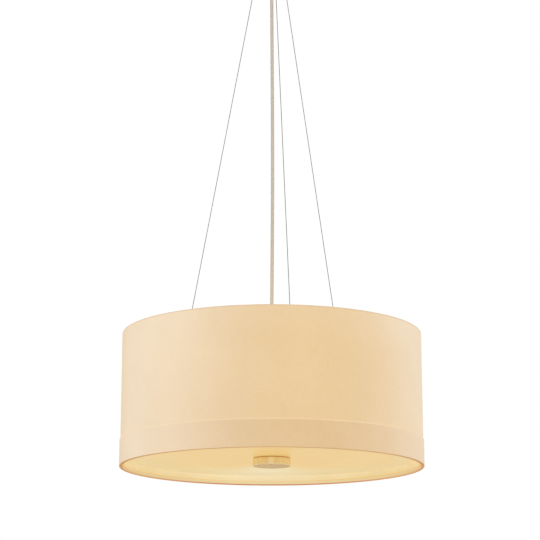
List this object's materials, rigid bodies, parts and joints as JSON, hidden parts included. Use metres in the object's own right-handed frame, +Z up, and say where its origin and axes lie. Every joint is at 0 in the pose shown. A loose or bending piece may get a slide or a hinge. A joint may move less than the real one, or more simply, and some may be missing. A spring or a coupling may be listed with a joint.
{
  "type": "pendant light",
  "caption": "Drum pendant light: fabric shade with a lower band, hung on steel wires from a round canopy, with a lit opal disc held up by a round knob.",
  "frame": {"origin": "middle of the top face of the ceiling bracket, which lies against the ceiling", "axes": "+Z up out of the bracket's top face towards the ceiling, the lamp hangs to -Z; +X along the bracket; the pictured side faces -Y"},
  "size_m": [0.5026, 0.5026, 0.886],
  "materials": {
    "cream_fabric": "fine matte weave over a stiff lining, lit from inside",
    "band_fabric": "fine matte weave, second layer",
    "opal": "opal acrylic, glossy, lit from inside",
    "satin_metal": "satin turned metal, warm tone",
    "white_steel": "white powder coat",
    "zinc_steel": "bright zinc plate",
    "wire_steel": "stranded stainless wire",
    "nickel_brass": "nickel plated brass",
    "cord_textile": "braided textile over a round flex",
    "white_plastic": "fine matte",
    "bulb_plastic": "smooth white with a screw cap",
    "bulb_globe": "frosted"
  },
  "bodies": {
    "canopy": {"ceiling_bracket": "zinc_steel", "canopy_cup": "white_steel", "canopy_screw_left": "zinc_steel", "canopy_screw_right": "zinc_steel", "terminal_block": "white_plastic", "cord_grip_upper": "white_plastic", "cord_grip_nut": "white_plastic", "gripper_seat_1": "zinc_steel", "gripper_seat_2": "zinc_steel", "gripper_seat_3": "zinc_steel", "power_cord": "cord_textile"},
    "lamp": {"shade_fabric": "cream_fabric", "lower_band": "band_fabric", "shade_top_ring": "white_steel", "shade_bottom_ring": "white_steel", "arm_plate": "white_steel", "ring_clip_1": "zinc_steel", "ring_clip_2": "zinc_steel", "ring_clip_3": "zinc_steel", "clip_screw_1": "zinc_steel", "clip_screw_2": "zinc_steel", "clip_screw_3": "zinc_steel", "threaded_tube": "zinc_steel", "cord_grip_lower": "white_plastic", "plate_nut_upper": "zinc_steel", "plate_nut_lower": "zinc_steel", "cluster_body": "white_steel", "cluster_cover": "white_steel", "cluster_nut_upper": "zinc_steel", "cluster_nut_lower": "zinc_steel", "holder_nipple_1": "zinc_steel", "holder_nipple_2": "zinc_steel", "holder_nipple_3": "zinc_steel", "lamp_holder_1": "white_plastic", "lamp_holder_2": "white_plastic", "lamp_holder_3": "white_plastic", "disc_washer": "zinc_steel", "disc_nut": "zinc_steel"},
    "wire_1": {"gripper_body_1": "nickel_brass", "suspension_wire_1": "wire_steel", "wire_stop_1": "zinc_steel"},
    "wire_2": {"gripper_body_2": "nickel_brass", "suspension_wire_2": "wire_steel", "wire_stop_2": "zinc_steel"},
    "wire_3": {"gripper_body_3": "nickel_brass", "suspension_wire_3": "wire_steel", "wire_stop_3": "zinc_steel"},
    "sleeve_1": {"release_sleeve_1": "nickel_brass"},
    "sleeve_2": {"release_sleeve_2": "nickel_brass"},
    "sleeve_3": {"release_sleeve_3": "nickel_brass"},
    "disc": {"opal_disc": "opal"},
    "knob": {"finial_knob": "satin_metal"},
    "bulb_1": {"bulb_base_1": "bulb_plastic", "bulb_globe_1": "bulb_globe"},
    "bulb_2": {"bulb_base_2": "bulb_plastic", "bulb_globe_2": "bulb_globe"},
    "bulb_3": {"bulb_base_3": "bulb_plastic", "bulb_globe_3": "bulb_globe"}
  },
  "joints": [
    {"name": "lamp_sway", "type": "hinge", "parent": "canopy", "child": "lamp", "pos_m": [0, 0, 0.13387], "axis": [0, 1, 0], "range_deg": [-4, 4], "deforming": ["power_cord"]},
    {"name": "wire_1_swing", "type": "hinge", "parent": "canopy", "child": "wire_1", "pos_m": [0.02264, 0.01968, -0.0205], "axis": [0, 1, 0], "range_deg": [-4.95, 4.95]},
    {"name": "wire_2_swing", "type": "hinge", "parent": "canopy", "child": "wire_2", "pos_m": [-0.02837, 0.00977, -0.0205], "axis": [0, 1, 0], "range_deg": [-4.95, 4.95]},
    {"name": "wire_3_swing", "type": "hinge", "parent": "canopy", "child": "wire_3", "pos_m": [0.00572, -0.02945, -0.0205], "axis": [0, 1, 0], "range_deg": [-4.95, 4.95]},
    {"name": "sleeve_1_release", "type": "slide", "parent": "wire_1", "child": "sleeve_1", "axis": [-0.144, -0.1252, 0.9816], "range_m": [0, 0.0025], "stiffness_N_per_m": 600, "springref_m": -0.0015},
    {"name": "sleeve_2_release", "type": "slide", "parent": "wire_2", "child": "sleeve_2", "axis": [0.1804, -0.0621, 0.9816], "range_m": [0, 0.0025], "stiffness_N_per_m": 600, "springref_m": -0.0015},
    {"name": "sleeve_3_release", "type": "slide", "parent": "wire_3", "child": "sleeve_3", "axis": [-0.0364, 0.1873, 0.9816], "range_m": [0, 0.0025], "stiffness_N_per_m": 600, "springref_m": -0.0015},
    {"name": "disc_lower", "type": "slide", "parent": "lamp", "child": "disc", "axis": [0, 0, -1], "range_m": [0, 0.009]},
    {"name": "knob_turn", "type": "hinge", "parent": "disc", "child": "knob", "pos_m": [0, 0, -0.8769], "axis": [0, 0, -1], "range_deg": [0, 3240]},
    {"name": "bulb_1_turn", "type": "hinge", "parent": "lamp", "child": "bulb_1", "pos_m": [0, 0, -0.761], "axis": [-0.1908, 0.9816, 0], "continuous": true},
    {"name": "bulb_2_turn", "type": "hinge", "parent": "lamp", "child": "bulb_2", "pos_m": [0, 0, -0.761], "axis": [-0.7547, -0.6561, 0], "continuous": true},
    {"name": "bulb_3_turn", "type": "hinge", "parent": "lamp", "child": "bulb_3", "pos_m": [0, 0, -0.761], "axis": [0.9455, -0.3256, 0], "continuous": true}
  ],
  "couplings": [
    {"joint": "wire_1_swing", "follows": "lamp_sway", "ratio": 1.2344},
    {"joint": "wire_2_swing", "follows": "lamp_sway", "ratio": 1.2344},
    {"joint": "wire_3_swing", "follows": "lamp_sway", "ratio": 1.2344},
    {"joint": "disc_lower", "follows": "knob_turn", "m_per_rad": 0.00015915}
  ]
}
